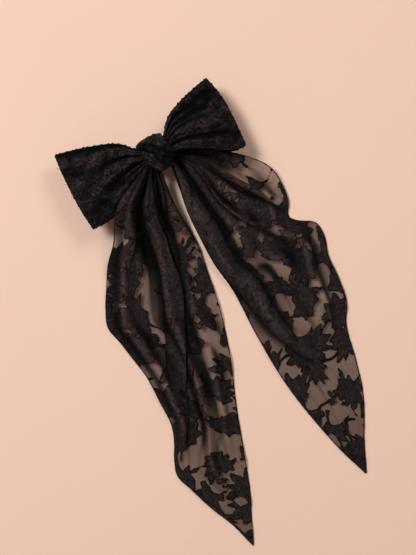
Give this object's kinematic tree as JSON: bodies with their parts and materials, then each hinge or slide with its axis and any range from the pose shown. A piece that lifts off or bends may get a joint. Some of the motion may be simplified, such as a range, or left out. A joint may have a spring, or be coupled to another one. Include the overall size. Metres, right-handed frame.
{
  "type": "hair bow",
  "caption": "Hair bow of sheer leaf-pattern cloth with folded loops, a wrapped knot and long pointed tails, on an arched spring barrette.",
  "frame": {"origin": "middle of the underside of the closed clasp arm, below the knot, on the plane the bow lies on", "axes": "+X along the barrette towards its catch, +Y away from the tails, +Z from the hair through the knot to the front"},
  "size_m": [0.1816, 0.3259, 0.031],
  "materials": {
    "bow_cloth": "charcoal doubled burnout cloth, dull with a soft sheen",
    "tail_cloth": "charcoal leaves on a see-through ground",
    "thread": "black sewing thread",
    "clip_steel": "nickel-plated stamped sheet",
    "spring_steel": "thin blued spring strip"
  },
  "bodies": {
    "bow": {"loop_left": "bow_cloth", "loop_right": "bow_cloth", "knot_wrap": "bow_cloth", "binding_thread": "thread", "knot_stitch_1": "thread", "knot_stitch_2": "thread", "knot_stitch_3": "thread", "knot_stitch_4": "thread", "plate_tie_left": "thread", "plate_tie_right": "thread", "base_plate": "clip_steel", "tension_bar": "spring_steel", "hinge_pin": "clip_steel", "catch_base": "clip_steel", "catch_rivet": "clip_steel"},
    "arm": {"clasp_arm": "clip_steel"},
    "wing_front": {"catch_wing_front": "clip_steel"},
    "wing_back": {"catch_wing_back": "clip_steel"},
    "left_tail": {"tail_left": "tail_cloth"},
    "right_tail": {"tail_right": "tail_cloth"}
  },
  "joints": [
    {"name": "arm_hinge", "type": "hinge", "parent": "bow", "child": "arm", "pos_m": [-0.0385, 0, 0.0019], "axis": [0, 1, 0], "range_deg": [0, 75]},
    {"name": "wing_front_squeeze", "type": "hinge", "parent": "bow", "child": "wing_front", "pos_m": [0.036, -0.0051, 0.004], "axis": [-1, 0, 0], "range_deg": [0, 8], "stiffness_Nm_per_rad": 0.02},
    {"name": "wing_back_squeeze", "type": "hinge", "parent": "bow", "child": "wing_back", "pos_m": [0.036, 0.0051, 0.004], "axis": [1, 0, 0], "range_deg": [0, 8], "stiffness_Nm_per_rad": 0.02},
    {"name": "left_tail_swing", "type": "hinge", "parent": "bow", "child": "left_tail", "pos_m": [0, 0, 0], "axis": [0, 0, 1], "range_deg": [-3, 1]},
    {"name": "right_tail_swing", "type": "hinge", "parent": "bow", "child": "right_tail", "pos_m": [0, 0, 0], "axis": [0, 0, 1], "range_deg": [-1, 10]}
  ]
}
